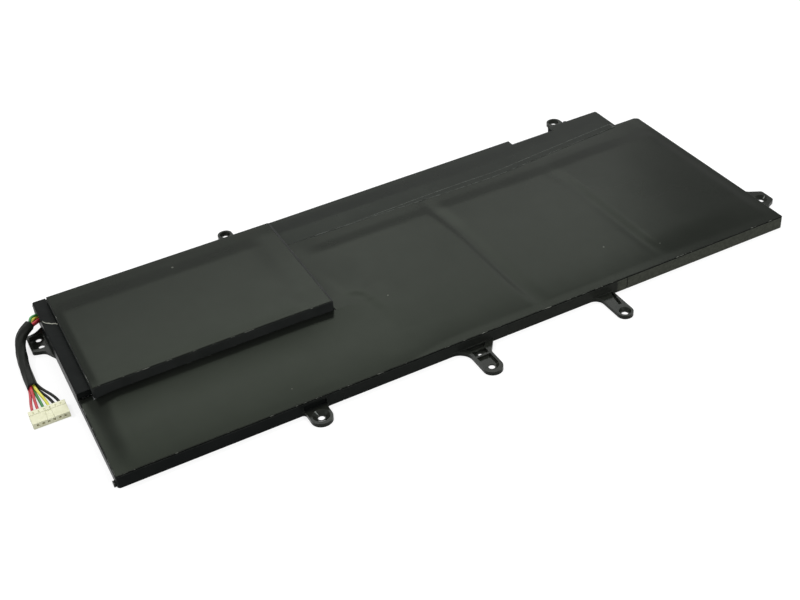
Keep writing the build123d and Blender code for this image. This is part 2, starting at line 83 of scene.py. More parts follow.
def place_camera():
    level = cos(CAMERA_PITCH)
    ahead = Vector((sin(CAMERA_YAW) * level, cos(CAMERA_YAW) * level, -sin(CAMERA_PITCH)))
    right = Vector((cos(CAMERA_YAW), -sin(CAMERA_YAW), 0))
    up = right.cross(ahead)
    turned_right = cos(CAMERA_ROLL) * right + sin(CAMERA_ROLL) * up
    turned_up = cos(CAMERA_ROLL) * up - sin(CAMERA_ROLL) * right
    data = bpy.data.cameras.new("camera")
    data.sensor_width = SENSOR_WIDTH
    data.lens = SENSOR_WIDTH * FOCAL_PIXELS / FRAME_WIDTH
    data.clip_start = 0.01
    camera = add_object("camera", data)
    turn = Matrix((turned_right, turned_up, -ahead)).transposed()
    camera.matrix_world = Matrix.Translation(at(*CAMERA_PLACE)) @ turn.to_4x4()
    scene.camera = camera


place_camera()


# Materials
EDGE_WIDTH = 0.00025
RUB_SCALE = 420
DUST_SCALE = 150
DUST_FREE_SHARE = 0.93
DUST_COLOUR = (0.11, 0.115, 0.1)


def new_material(name):
    mat = bpy.data.materials.new(name)
    mat.use_nodes = True
    tree = mat.node_tree
    tree.nodes.clear()
    out = tree.nodes.new("ShaderNodeOutputMaterial")
    shader = tree.nodes.new("ShaderNodeBsdfPrincipled")
    tree.links.new(shader.outputs["BSDF"], out.inputs["Surface"])
    coords = tree.nodes.new("ShaderNodeTexCoord").outputs["Object"]
    return mat, tree, shader, coords


def noise_node(tree, coords, scale, detail, rough=0.5, distortion=0.0):
    n = tree.nodes.new("ShaderNodeTexNoise")
    n.inputs["Scale"].default_value = scale
    n.inputs["Detail"].default_value = detail
    n.inputs["Roughness"].default_value = rough
    n.inputs["Distortion"].default_value = distortion
    tree.links.new(coords, n.inputs["Vector"])
    return n.outputs["Fac"]


def math_node(tree, operation, a, b, clamp=False):
    """Maths on two values, each a socket or a float."""
    n = tree.nodes.new("ShaderNodeMath")
    n.operation = operation
    n.use_clamp = clamp
    for socket, value in zip(n.inputs, (a, b)):
        if isinstance(value, float):
            socket.default_value = value
        else:
            tree.links.new(value, socket)
    return n.outputs["Value"]


def ramp(tree, value, stops):
    r = tree.nodes.new("ShaderNodeValToRGB")
    elements = r.color_ramp.elements
    while len(elements) < len(stops):
        elements.new(0.5)
    for e, (position, colour) in zip(elements, stops):
        e.position = position
        e.color = (*colour, 1)
    tree.links.new(value, r.inputs["Fac"])
    return r.outputs["Color"]


def span(tree, value, low, high, start=0.0, end=1.0):
    """Value from start to end made into low to high, and held beyond both."""
    m = tree.nodes.new("ShaderNodeMapRange")
    m.inputs["From Min"].default_value = start
    m.inputs["From Max"].default_value = end
    m.inputs["To Min"].default_value = low
    m.inputs["To Max"].default_value = high
    tree.links.new(value, m.inputs["Value"])
    return m.outputs["Result"]


def mix_colour(tree, fac, a, b):
    m = tree.nodes.new("ShaderNodeMix")
    m.data_type = "RGBA"
    tree.links.new(fac, m.inputs["Factor"])
    for socket, value in ((m.inputs["A"], a), (m.inputs["B"], b)):
        if isinstance(value, tuple):
            socket.default_value = (*value, 1)
        else:
            tree.links.new(value, socket)
    return m.outputs["Result"]


def worn_edges(tree, coords):
    """Share of wear: high along sharp edges, broken by noise."""
    bevel = tree.nodes.new("ShaderNodeBevel")
    bevel.samples = 4
    bevel.inputs["Radius"].default_value = EDGE_WIDTH
    geometry = tree.nodes.new("ShaderNodeNewGeometry")
    dot = tree.nodes.new("ShaderNodeVectorMath")
    dot.operation = "DOT_PRODUCT"
    tree.links.new(bevel.outputs["Normal"], dot.inputs[0])
    tree.links.new(geometry.outputs["Normal"], dot.inputs[1])
    bent = math_node(tree, "SUBTRACT", 1.0, dot.outputs["Value"])
    blotches = noise_node(tree, coords, RUB_SCALE, 3, 0.6)
    return math_node(tree, "MULTIPLY", bent, span(tree, blotches, -0.6, 2.6), clamp=True)


def dust_specks(tree, coords, size):
    """1 on small specks, in the few cells of a pattern that have one."""
    cells = tree.nodes.new("ShaderNodeTexVoronoi")
    cells.inputs["Scale"].default_value = DUST_SCALE
    tree.links.new(coords, cells.inputs["Vector"])
    split = tree.nodes.new("ShaderNodeSeparateColor")
    tree.links.new(cells.outputs["Color"], split.inputs["Color"])
    reach = span(tree, split.outputs["Red"], 0.0, size, DUST_FREE_SHARE)
    return math_node(tree, "LESS_THAN", cells.outputs["Distance"], reach)


def surface(name, dark, light, rough, grain, depth, mottle=90, spec=0.5, metal=0.0, wear=None, dust=0.0,
            tint=None, patch=None):
    """Mottled surface with a fine grain, depth millimetres deep. rough is a (low, high) pair, wear a paler
    colour for the edges, dust the size of the specks on it and patch a function for places that differ."""
    mat, tree, shader, coords = new_material(name)
    broad = noise_node(tree, coords, mottle, 4, 0.55, 0.4)
    colour = ramp(tree, broad, [(0.3, dark), (0.7, light)])
    smear = noise_node(tree, coords, mottle * 2.7, 5, 0.6, 0.8)
    roughness = span(tree, smear, *rough)
    shader.inputs["Specular IOR Level"].default_value = spec
    if patch:
        colour, roughness, gloss = patch(tree, coords, colour, roughness, spec)
        tree.links.new(gloss, shader.inputs["Specular IOR Level"])
    if wear:
        colour = mix_colour(tree, worn_edges(tree, coords), colour, wear)
    if dust:
        colour = mix_colour(tree, dust_specks(tree, coords, dust), colour, DUST_COLOUR)
    tree.links.new(colour, shader.inputs["Base Color"])
    tree.links.new(roughness, shader.inputs["Roughness"])
    bump = tree.nodes.new("ShaderNodeBump")
    bump.inputs["Strength"].default_value = 0.5
    bump.inputs["Distance"].default_value = depth / 1000
    tree.links.new(noise_node(tree, coords, grain, 3, 0.55), bump.inputs["Height"])
    tree.links.new(bump.outputs["Normal"], shader.inputs["Normal"])
    if tint:
        shader.inputs["Specular Tint"].default_value = (*tint, 1)
    shader.inputs["Metallic"].default_value = metal
    return mat


def moulding_patches(tree, coords, colour, roughness, spec):
    """Front wall with painted light, lighter towards the right and most of all right of the last front ear,
    and the ears outside the walls, shinier and with a lighter colour that is painted light.
    The limits are in metres in the shared frame."""
    split = tree.nodes.new("ShaderNodeSeparateXYZ")
    tree.links.new(coords, split.inputs["Vector"])
    x, y = split.outputs["X"], split.outputs["Y"]
    blotches = noise_node(tree, coords, 900, 4, 0.6)

    # Painted light: the front wall grows lighter from left to right, with a step right of the last front ear.
    growing = span(tree, x, 0.0, 0.25, -0.09, 0.055)
    stepped = span(tree, x, 0.0, 0.75, 0.0580, 0.0590)
    on_wall = span(tree, y, 0.0, 1.0, -0.05355, -0.05370)
    wall = math_node(tree, "MULTIPLY", math_node(tree, "ADD", growing, stepped), on_wall)
    painted_light_wall = ramp(tree, blotches, [(0.35, (0.046, 0.050, 0.040)), (0.65, (0.066, 0.070, 0.057))])
    colour = mix_colour(tree, wall, colour, painted_light_wall)

    # Painted light: the ears get a lighter copy of the moulding colour, for the light their tops catch.
    right, left = span(tree, x, 0.0, 1.0, 0.1390, 0.1394), span(tree, x, 0.0, 1.0, -0.1412, -0.1416)
    back, front = span(tree, y, 0.0, 1.0, 0.0604, 0.0608), span(tree, y, 0.0, 1.0, -0.0541, -0.0546)
    ends = math_node(tree, "MAXIMUM", right, left)
    sides = math_node(tree, "MAXIMUM", back, front)
    ears = math_node(tree, "MAXIMUM", ends, sides)
    painted_light_ears = ramp(tree, blotches, [(0.3, (0.012, 0.0135, 0.011)), (0.7, (0.020, 0.022, 0.018))])
    smoother = math_node(tree, "MULTIPLY", roughness, span(tree, ears, 1.0, 0.45))
    return mix_colour(tree, ears, colour, painted_light_ears), smoother, span(tree, ears, spec, 0.085)


def speckled(name, base, speck, scale, low, high):
    """Cut edge: the base colour broken by pale specks."""
    mat, tree, shader, coords = new_material(name)
    chips = noise_node(tree, coords, scale, 3, 0.6, 0.3)
    colour = ramp(tree, chips, [(low, base), (high, speck)])
    tree.links.new(colour, shader.inputs["Base Color"])
    broad = noise_node(tree, coords, scale * 0.4, 2)
    tree.links.new(span(tree, broad, 0.4, 0.6), shader.inputs["Roughness"])
    shader.inputs["Specular IOR Level"].default_value = 0.12
    return mat


film = surface("film", (0.0058, 0.0066, 0.0056), (0.0086, 0.0096, 0.0082), (0.17, 0.23), 1900, 0.003,
               mottle=45, spec=0.07, wear=(0.16, 0.17, 0.155), dust=0.09, tint=(0.76, 1.0, 0.62))
cover_film = surface("cover_film", (0.0040, 0.0048, 0.0042), (0.0066, 0.0076, 0.0066), (0.24, 0.34), 1500,
                     0.004, mottle=60, spec=0.067, wear=(0.14, 0.15, 0.135), dust=0.08,
                     tint=(0.78, 1.0, 0.70))
moulding = surface("moulding", (0.0060, 0.0070, 0.0068), (0.0090, 0.0102, 0.0098), (0.26, 0.42), 1300,
                   0.006, mottle=140, spec=0.025, wear=(0.09, 0.095, 0.085), dust=0.07,
                   tint=(0.93, 1.0, 0.95), patch=moulding_patches)
# Painted light: module_wall is a lighter copy of the dark plastic, standing in for light falling on the
# module's front face.
module_wall = surface("module_wall", (0.017, 0.019, 0.018), (0.024, 0.026, 0.025), (0.34, 0.46), 1500,
                      0.006, mottle=120, spec=0.06, wear=(0.10, 0.105, 0.095))
under_film = surface("under_film", (0.009, 0.0095, 0.009), (0.014, 0.0145, 0.0135), (0.34, 0.46), 1700,
                     0.006, mottle=40, spec=0.25)
tape = surface("tape", (0.0075, 0.0085, 0.0080), (0.0110, 0.0122, 0.0115), (0.42, 0.56), 1400, 0.008,
               mottle=150, spec=0.03)
tape_cut = surface("tape_cut", (0.22, 0.23, 0.19), (0.36, 0.36, 0.31), (0.5, 0.65), 2500, 0.01,
                   mottle=600, spec=0.3)
film_edge = speckled("film_edge", (0.012, 0.013, 0.011), (0.26, 0.27, 0.24), 260, 0.56, 0.72)
seam_edge = speckled("seam_edge", (0.030, 0.034, 0.030), (0.15, 0.165, 0.15), 320, 0.38, 0.62)
foil = surface("foil", (0.48, 0.49, 0.50), (0.62, 0.63, 0.64), (0.30, 0.44), 1100, 0.012, mottle=60,
               metal=0.85)
aluminium = surface("aluminium", (0.70, 0.71, 0.72), (0.80, 0.80, 0.80), (0.24, 0.36), 2200, 0.004,
                    metal=1.0)
nickel = surface("nickel", (0.58, 0.55, 0.49), (0.68, 0.65, 0.58), (0.22, 0.34), 2200, 0.004, metal=1.0)
brass = surface("brass", (0.56, 0.42, 0.19), (0.70, 0.54, 0.27), (0.24, 0.36), 2600, 0.004, mottle=400,
                metal=1.0)
amber = surface("amber_flex", (0.42, 0.19, 0.03), (0.56, 0.28, 0.06), (0.28, 0.40), 900, 0.006, mottle=200)
board = surface("board", (0.010, 0.060, 0.030), (0.018, 0.095, 0.045), (0.28, 0.40), 1500, 0.01, mottle=320)
chip = surface("chip", (0.014, 0.014, 0.015), (0.026, 0.026, 0.027), (0.45, 0.6), 2600, 0.008, mottle=400)
ceramic = surface("ceramic", (0.55, 0.50, 0.42), (0.68, 0.63, 0.54), (0.4, 0.55), 2600, 0.006, mottle=500)
grey_sheet = surface("grey_sheet", (0.13, 0.13, 0.13), (0.19, 0.19, 0.19), (0.5, 0.65), 1100, 0.012,
                     mottle=160)
adhesive = surface("adhesive", (0.50, 0.50, 0.46), (0.62, 0.62, 0.58), (0.3, 0.5), 700, 0.015, mottle=220)
sleeve_black = surface("sleeve_black", (0.0055, 0.0068, 0.0052), (0.0090, 0.0105, 0.0084), (0.40, 0.52),
                       1700, 0.012, mottle=320, spec=0.10)
wire_red = surface("wire_red", (0.42, 0.026, 0.038), (0.54, 0.045, 0.058), (0.32, 0.44), 2200, 0.006,
                   mottle=420)
wire_green = surface("wire_green", (0.022, 0.17, 0.030), (0.045, 0.26, 0.055), (0.32, 0.44), 2200, 0.006,
                     mottle=420)
wire_yellow = surface("wire_yellow", (0.60, 0.58, 0.055), (0.72, 0.70, 0.10), (0.32, 0.44), 2200, 0.006,
                      mottle=420)
wire_black = surface("wire_black", (0.006, 0.0065, 0.006), (0.012, 0.0125, 0.011), (0.30, 0.42), 2200, 0.006,
                     mottle=420, spec=0.12)
ivory = surface("ivory", (0.68, 0.68, 0.47), (0.79, 0.79, 0.58), (0.36, 0.50), 1600, 0.01, mottle=300,
                spec=0.4)

finishes = {
    "frame": moulding, "end_bar": moulding, "module_frame": module_wall, "bottom_film": under_film,
    "aluminium_tabs": aluminium, "nickel_tabs": nickel, "weld_pads": nickel, "flex_link": amber,
    "circuit_board": board, "mosfets": chip, "gauge_chip": chip, "sense_resistor": ceramic,
    "fuse": ceramic, "thermistor": chip, "chip_parts": ceramic, "insulation_sheet": grey_sheet,
    "cell_adhesive": adhesive, "upper_cell": foil, "plug_housing": ivory, "plug_contacts": brass,
    "top_film": film, "module_film": film, "strip_cover": cover_film, "exit_tape": tape,
    "cable_sleeve": sleeve_black,
}
for k in range(1, 6):
    finishes["cell_%d" % k] = foil
for name, node in nodes.items():
    if name in finishes:
        node.data.materials.clear()
        node.data.materials.append(finishes[name])


def soften(name, width):
    """Rounds the sharp edges of a moulded node."""
    node = nodes[name]
    weld = node.modifiers.new("weld", "WELD")
    weld.merge_threshold = 0.000002
    bevel = node.modifiers.new("bevel", "BEVEL")
    bevel.width = width
    bevel.segments = 2
    bevel.limit_method = "ANGLE"
    bevel.angle_limit = 0.7
    bevel.harden_normals = True


for name, width in (("end_bar", 0.00015), ("module_frame", 0.00012), ("plug_housing", 0.00012)):
    soften(name, width)


# Cable: six wires from the slot through the sleeve to the plug
ROUTE = [(-4.2, 97.4, 5.65), (-8.8, 93.2, 5.65), (-10.9, 85.9, 3.6), (-12.0, 75.4, 2.1), (-12.0, 64.0, 2.1)]
SIDEWAYS = [(0.674, -0.738), (0.850, -0.527), (0.980, -0.190), (0.999, -0.052), (1.0, 0.0)]
TWIST = [0.0, 0.9, 1.7, 2.5, pi]
WIRE_STEP = 0.47
WIRE_RADIUS = 0.00055
# From the first point of the route to where a wire starts in the slot
SLOT_RUN = (6.65, 6.07, -2.0)
PLUG_BACK = 51.3
PLUG_FIRST = -15.45
PLUG_PITCH = 2.0
PLUG_HOLE = 1.35
PLUG_SEAT = 0.7
FAN_END = 3.2
FAN_LIFT = 0.3
SLEEVE_RADIUS = 0.0021
SLEEVE_WALL = 0.00022
SLEEVE_SIDES = 36
WIRES = [("red_1", wire_red), ("red_2", wire_red), ("green", wire_green), ("yellow", wire_yellow),
         ("black_1", wire_black), ("black_2", wire_black)]
# Wires that stand a little proud where they leave the slot
SLACK = {"green": [(-2.2, 101.6, 7.0)], "yellow": [(-1.9, 100.5, 6.5)]}


def smooth_curve(name, points):
    data = bpy.data.curves.new(name, "CURVE")
    data.dimensions = "3D"
    data.resolution_u = 16
    spline = data.splines.new("NURBS")
    spline.points.add(len(points) - 1)
    for p, co in zip(spline.points, points):
        p.co = (*at(*co), 1)
    spline.order_u = 3
    spline.use_endpoint_u = True
    return add_object(name, data)


def wire_points(k):
    """Control points of one wire, which keeps its place in the twisted bundle."""
    aside = WIRE_STEP * ((len(WIRES) - 1) / 2 - k)
    lift = (k % 2) - 0.5
    points = []
    for (x, y, z), (sx, sy), turn in zip(ROUTE, SIDEWAYS, TWIST):
        a = aside * cos(turn) + lift * sin(turn)
        b = aside * sin(turn) - lift * cos(turn)
        points.append((x + sx * a, y + sy * a, z + b))
    start = tuple(p + run for p, run in zip(points[0], SLOT_RUN))
    inside = [start] + SLACK.get(WIRES[k][0], [])
    px = PLUG_FIRST + PLUG_PITCH * k
    fan = (px, PLUG_BACK + FAN_END, PLUG_HOLE + FAN_LIFT * (k % 2))
    return inside + points + [fan, (px, PLUG_BACK - PLUG_SEAT, PLUG_HOLE)]


def tube_along(name, path, radius, wall, sides, lobes):
    """Open tube round a path of points, pressed out where the wires lie in it."""
    bm = bmesh.new()
    last = len(path) - 1
    flat = None
    rings = []
    for i, p in enumerate(path):
        along = (path[min(i + 1, last)] - path[max(i - 1, 0)]).normalized()
        if flat is None:
            flat = along.cross(Vector((0, 0, 1))).normalized()
        flat = (flat - along * flat.dot(along)).normalized()
        over = flat.cross(along)
        part = i / last
        ring = []
        for j in range(sides):
            t = 2 * pi * j / sides
            dents = noise.noise(Vector((9 * part, 2 * cos(t), 2 * sin(t))))
            press = 0.045 * cos(lobes * (t + pi * part)) + 0.05 * dents
            ring.append((p, flat * cos(t) + over * sin(t), radius * (0.95 + press)))
        rings.append(ring)

    def circle(ring, less):
        return [bm.verts.new(p + d * (r - less)) for p, d, r in ring]

    loops = [circle(ring, 0) for ring in rings] + [circle(ring, wall) for ring in reversed(rings)]
    for a, b in zip(loops, loops[1:] + loops[:1]):
        for j in range(sides):
            n = (j + 1) % sides
            bm.faces.new((a[j], a[n], b[n], b[j]))
    bmesh.ops.recalc_face_normals(bm, faces=bm.faces)
    for f in bm.faces:
        f.smooth = True
    return mesh_object(name, bm)


guide = smooth_curve("sleeve_line", ROUTE)
guide_mesh = bpy.data.meshes.new_from_object(guide)
sleeve_path = [v.co.copy() for v in guide_mesh.vertices]
bpy.data.objects.remove(guide)
bpy.data.meshes.remove(guide_mesh)
sleeve = tube_along("sleeve", sleeve_path, SLEEVE_RADIUS, SLEEVE_WALL, SLEEVE_SIDES, len(WIRES))
sleeve.data.materials.append(sleeve_black)
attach(sleeve, "root")
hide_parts("cable_sleeve")

for k, (name, finish) in enumerate(WIRES):
    points = wire_points(k)
    wire = smooth_curve("lead_" + name, points)
    wire.data.bevel_depth = WIRE_RADIUS
    wire.data.bevel_resolution = 5
    wire.data.use_fill_caps = True
    wire.data.materials.append(finish)
    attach(wire, "root")
    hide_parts("wire_" + name)


# Films: thin sheets on a grid of lines. Heights are in millimetres above the floor
SEAM = 92.2
GRID = 0.95
COVER_GRID_X = 1.0
COVER_GRID_Y = 0.9
# Grid lines beside an edge, for its bend, and where the even grid starts
EDGE_LINES = [0.06, 0.14, 0.26, 0.45]
EDGE_MARGIN = 0.8
FILM = 0.2
FILM_BEND = 0.22
MODULE_FILM = 0.1
MODULE_BEND = 0.3
COVER = 0.3
COVER_BEND = 0.26
FILM_RIM = 0.11
COVER_RIM = 0.04


def outline_distance(x, y, corners):
    """Distance of each point from the nearest side of an outline."""
    best = np.full(x.shape, 1e9)
    for (ax, ay), (bx, by) in zip(corners, corners[1:] + corners[:1]):
        dx, dy = bx - ax, by - ay
        t = np.clip(((x - ax) * dx + (y - ay) * dy) / (dx * dx + dy * dy), 0, 1)
        best = np.minimum(best, np.hypot(x - ax - t * dx, y - ay - t * dy))
    return best


def within(x, y, corners):
    """True for each point inside an outline."""
    inside = np.zeros(x.shape, bool)
    for (ax, ay), (bx, by) in zip(corners, corners[1:] + corners[:1]):
        if ay != by:
            crosses = (ay > y) != (by > y)
            inside ^= crosses & (x < (bx - ax) * (y - ay) / (by - ay) + ax)
    return inside


def lines(stops, step):
    """Grid lines between stops, with close ones beside each stop for the bent-down edges."""
    out = set()
    for a, b in zip(stops[:-1], stops[1:]):
        near = EDGE_LINES if b - a > 3 else []
        out.update([a, b] + [a + n for n in near] + [b - n for n in near])
        low, high = (a + EDGE_MARGIN, b - EDGE_MARGIN) if near else (a, b)
        count = max(1, round((high - low) / step))
        out.update(low + (high - low) * i / count for i in range(count + 1))
    return np.array(sorted(round(v, 4) for v in out))


def smooth(value, zero, one):
    """Smooth step from 0, where the value is at zero, to 1, where it is at one."""
    t = np.clip((value - zero) / (one - zero), 0, 1)
    return t * t * (3 - 2 * t)


def crease(x, y, points, height, width, far=None):
    """Soft ridge along a line of points, fading out at both ends; far is the width on its left."""
    best = np.full(x.shape, 1e9)
    place = np.zeros(x.shape)
    side = np.zeros(x.shape)
    runs = list(zip(points[:-1], points[1:]))
    for i, ((ax, ay), (bx, by)) in enumerate(runs):
        dx, dy = bx - ax, by - ay
        t = np.clip(((x - ax) * dx + (y - ay) * dy) / (dx * dx + dy * dy), 0, 1)
        d = np.hypot(x - ax - t * dx, y - ay - t * dy)
        near = d < best
        place = np.where(near, (i + t) / len(runs), place)
        side = np.where(near, (y - ay) * dx - (x - ax) * dy, side)
        best = np.minimum(best, d)
    spread = np.where(side > 0, far or width, width)
    return height * np.exp(-(best / spread) ** 2) * np.sin(pi * np.clip(place, 0.02, 0.98)) ** 0.7


def ripple(x, y, scale, seed):
    out = np.zeros(x.shape)
    flat_x, flat_y, flat = x.ravel(), y.ravel(), out.ravel()
    for i in range(flat.size):
        flat[i] = noise.fractal(Vector((flat_x[i] / scale, flat_y[i] / scale, seed)), 1.4, 2.0, 2)
    return out


def film_sheet(name, columns, rows, corners, warp, top, thickness, turn_down, finish, cut):
    """Closed thin sheet on a grid of lines, cut to an outline, with its edges turned down a little.
    cut is (material, width) for a rim that shows the cut edge."""
    gx, gy = np.meshgrid(columns, rows, indexing="ij")
    mid_x = (gx[1:, 1:] + gx[:-1, :-1]) / 2
    mid_y = (gy[1:, 1:] + gy[:-1, :-1]) / 2
    keep = within(mid_x, mid_y, corners)
    edge = outline_distance(gx, gy, corners)
    rim = outline_distance(mid_x, mid_y, corners)
    x, y = warp(gx, gy)
    u = np.clip(edge / turn_down, 0, 1)
    z = top(x, y, edge) - turn_down * 0.55 * (1 - np.sqrt(np.clip(1 - (1 - u) ** 2, 0, 1)))
    bm = bmesh.new()
    verts = {}

    def vert(i, j):
        if (i, j) not in verts:
            verts[i, j] = bm.verts.new(at(x[i, j], y[i, j], z[i, j]))
        return verts[i, j]

    for i in range(keep.shape[0]):
        for j in range(keep.shape[1]):
            if keep[i, j]:
                face = bm.faces.new((vert(i, j), vert(i + 1, j), vert(i + 1, j + 1), vert(i, j + 1)))
                face.smooth = True
                face.material_index = 1 if rim[i, j] < cut[1] else 0
    obj = mesh_object(name, bm)
    thicken(obj, thickness)
    obj.data.materials.append(finish)
    obj.data.materials.append(cut[0])
    return obj


# Film over the five lower cells
FILM_BASE = 5.30
# Valleys between the cells: middle, depth, width of the falling and of the rising side
VALLEYS = [(56.0, 0.06, 7.0, 8.0), (166.0, 0.80, 3.6, 6.4), (222.7, 0.16, 4.6, 4.4)]
VALLEY_LEAN = 2.2
FRONT_RISE = 0.30
FRONT_END = 20.0
LAST_CELL_RISE = 0.32
MODULE_LIFT = 0.95
# Curved crease beside the module: its line, height and the widths of its two sides
ARC = [(106.0, 49.0), (109.1, 49.6), (112.8, 48.9), (115.3, 45.6), (116.7, 40.1), (117.4, 33.5),
       (117.2, 26.7), (117.6, 16.0)]
ARC_SHAPE = (0.32, 2.8, 16.0)
RIPPLE_SCALE = 34.0


def seam_shift(x):
    """How far the seam has moved back at its slanting right-hand end."""
    return 6.15 * np.clip((x - 200.0) / 67.8, 0, 1)


def top_film_warp(x, y):
    """Moves the back edge to the seam and gives the front edge a slight wave."""
    cut = np.clip(x - 278.35, 0, 9)
    stretch = np.clip((y - 55.0) / (SEAM - 55.0), 0, 1)
    moved = y + (seam_shift(x) - cut) * stretch
    wave = np.array([noise.noise(Vector((v / 5.0, 3.1, 0.7))) + 0.6 * noise.noise(Vector((v / 1.7, 8.3, 0.2)))
                     for v in x[:, 0]])
    front = np.clip(1 - y / 2.0, 0, 1)
    return x, moved + 0.10 * wave[:, None] * front


def top_film_height(x, y, edge):
    lengthwise = smooth(x, 1.2, 9.7) * smooth(x, 279.1, 273.1)
    for middle, depth, fall, rise in VALLEYS:
        lean = middle + VALLEY_LEAN * np.clip((40 - y) / 40, -1, 1) ** 3
        lengthwise = lengthwise * (1 - depth * smooth(x, lean - fall, lean) * smooth(x, lean + rise, lean))
    start = 4.0 * smooth(x, 105.0, 130.0)
    front = 1 - (1 - np.clip((y - start) / (FRONT_END - start), 0, 1)) ** 2
    back_line = 87.2 + 1.2 * smooth(x, 225.0, 245.0)
    fall_back = smooth(y, back_line - 8.0, back_line) * smooth(x, 103.0, 115.0)
    settling = 0.24 + 0.05 * smooth(x, 170.0, 200.0) + 0.08 * smooth(x, 235.0, 255.0)
    at_seam = 0.05 * np.clip((y - 86.0) / 6.0, 0, 1)
    z = FILM_BASE + lengthwise * (0.07 + FRONT_RISE * front - settling * fall_back - at_seam)
    last = smooth(x, 222.2, 227.0) * np.clip(1 - (np.maximum(x - 243.0, 0) / 33.0) ** 2, 0, 1)
    z = z + LAST_CELL_RISE * last * smooth(y, 2.0, 18.0) * smooth(y, 94.0, 50.0)
    lift = np.clip((y - 22.0) / 19.4, 0, 1) ** 2 * smooth(y, 87.0, 42.0)
    z = z + MODULE_LIFT * lift * smooth(x, 122.0, 82.0) * smooth(x, 1.0, 15.0)
    z = z + crease(x, y, ARC, *ARC_SHAPE)
    settle = np.clip(edge / 5.0, 0, 1)
    return z + 0.05 * settle * ripple(x, y, RIPPLE_SCALE, 2.4)


film_corners = [(0.25, 0.25), (279.75, 0.25), (279.75, SEAM), (99.8, SEAM), (99.8, 41.4), (5.1, 41.4),
                (5.1, 44.7), (0.25, 44.7)]
lower_film = film_sheet("lower_film", lines([0.25, 5.1, 99.8, 279.75], GRID),
                        lines([0.25, 41.4, 44.7, SEAM], GRID), film_corners, top_film_warp,
                        top_film_height, FILM, FILM_BEND, film, (film_edge, FILM_RIM))
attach(lower_film, "root")
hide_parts("top_film")

# Film over the raised module
MODULE_BASE = 10.50
MODULE_TOP = 10.84
MODULE_CREASE = [(12.0, 46.0), (13.2, 62.0), (14.0, 80.0), (13.4, 92.0)]
MODULE_CREASE_SHAPE = (0.03, 2.0)


def straight(x, y):
    return x, y


def module_film_height(x, y, edge):
    swell = smooth(x, 4.4, 9.4) * smooth(x, 93.0, 84.0) * smooth(y, 99.0, 90.0)
    flat_back = 0.10 * smooth(y, 96.0, 105.0)
    z = MODULE_BASE - flat_back + swell * (0.14 + 0.15 * smooth(y, 40.6, 47.6))
    z = z + crease(x, y, MODULE_CREASE, *MODULE_CREASE_SHAPE)
    settle = np.clip(edge / 4.0, 0, 1)
    return np.minimum(z + 0.03 * settle * ripple(x, y, RIPPLE_SCALE, 7.7), MODULE_TOP)


module_corners = [(5.4, 41.7), (98.9, 41.7), (98.9, 104.9), (5.4, 104.9)]
upper_film = film_sheet("upper_film", lines([5.4, 98.9], GRID), lines([41.7, 104.9], GRID), module_corners,
                        straight, module_film_height, MODULE_FILM, MODULE_BEND, film, (film_edge, FILM_RIM))
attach(upper_film, "root")
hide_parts("module_film")

# Cover over the electronics strip
STRIP_BACK = 113.75
RECESS_BACK = 109.75
STRIP_END = 267.8
BACK_TAPER = 2.8
COVER_BASE = 5.34
COVER_LOWEST = 5.10
FOLD_LINE = 101.5
FOLD_HEIGHT = 0.40


def strip_warp(x, y):
    """Moves the front edge to the seam and tapers the back edge."""
    front = np.clip((STRIP_BACK - y) / (STRIP_BACK - SEAM - 0.1), 0, 1)
    back = np.clip((y - RECESS_BACK) / (STRIP_BACK - RECESS_BACK), 0, 1)
    return x, y + seam_shift(x) * front - BACK_TAPER * (STRIP_END - x) / STRIP_END * back


def strip_height(x, y, edge):
    """A low fold along the strip that fades to the right, where the cover slopes to the back."""
    over = np.clip(edge / 3.0, 0, 1)
    past = y - FOLD_LINE - 0.5 * seam_shift(x)
    steep = 1 - 0.7 * smooth(x, 160.0, 195.0)
    fold = (FOLD_HEIGHT + np.where(past < 0, 0.044, -0.056) * past) * steep
    lower = 0.09 * smooth(past, 0.0, 10.0) + 0.012 * (past + 9.3) * smooth(x, 165.0, 190.0)
    base = np.maximum(COVER_BASE - lower, COVER_LOWEST)
    return base + over * (np.maximum(fold, 0) + 0.03 * ripple(x, y, 24.0, 5.1))


strip_corners = [(0.25, 108.0), (5.5, 108.0), (5.5, 105.2), (99.8, 105.2), (99.8, 92.3), (267.55, 92.3),
                 (267.55, STRIP_BACK), (241.75, STRIP_BACK), (241.75, RECESS_BACK), (219.95, RECESS_BACK),
                 (219.95, STRIP_BACK), (0.25, STRIP_BACK)]
back_cover = film_sheet("back_cover", lines([0.25, 5.5, 99.8, 219.95, 241.75, 267.55], COVER_GRID_X),
                        lines([92.3, 105.2, 108.0, RECESS_BACK, STRIP_BACK], COVER_GRID_Y), strip_corners,
                        strip_warp, strip_height, COVER, COVER_BEND, cover_film, (seam_edge, COVER_RIM))
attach(back_cover, "root")
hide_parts("strip_cover")

# Narrow tape along the seam, with pale cut edges
SEAM_TAPE = 0.06
SEAM_TAPE_HEIGHT = 5.45
SEAM_TAPE_EDGE = 0.11


def seam_strip():
    bm = bmesh.new()
    grid = []
    for x in np.linspace(114.0, 266.4, 130):
        half = 0.12 + 1.55 * float(smooth(x, 120.0, 190.0))
        drift = 0.25 * noise.noise(Vector((x / 23.0, 2.2, 0.4)))
        middle = SEAM + 0.05 + float(seam_shift(x)) + drift
        row = []
        for across in (-half, -half + SEAM_TAPE_EDGE, 0.0, half - SEAM_TAPE_EDGE, half):
            wave = 0.02 * noise.noise(Vector((x / 6.0, across, 1.0)))
            row.append(bm.verts.new(at(x, middle + across, SEAM_TAPE_HEIGHT + 0.03 * across / 1.7 + wave)))
        grid.append(row)
    for a, b in zip(grid[:-1], grid[1:]):
        for j in range(4):
            face = bm.faces.new((a[j], b[j], b[j + 1], a[j + 1]))
            face.smooth = True
            face.material_index = 1 if j in (0, 3) else 0
    obj = mesh_object("seam_strip", bm)
    thicken(obj, SEAM_TAPE)
    obj.data.materials.append(cover_film)
    obj.data.materials.append(seam_edge)
    return obj


seam_tape = seam_strip()
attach(seam_tape, "root")

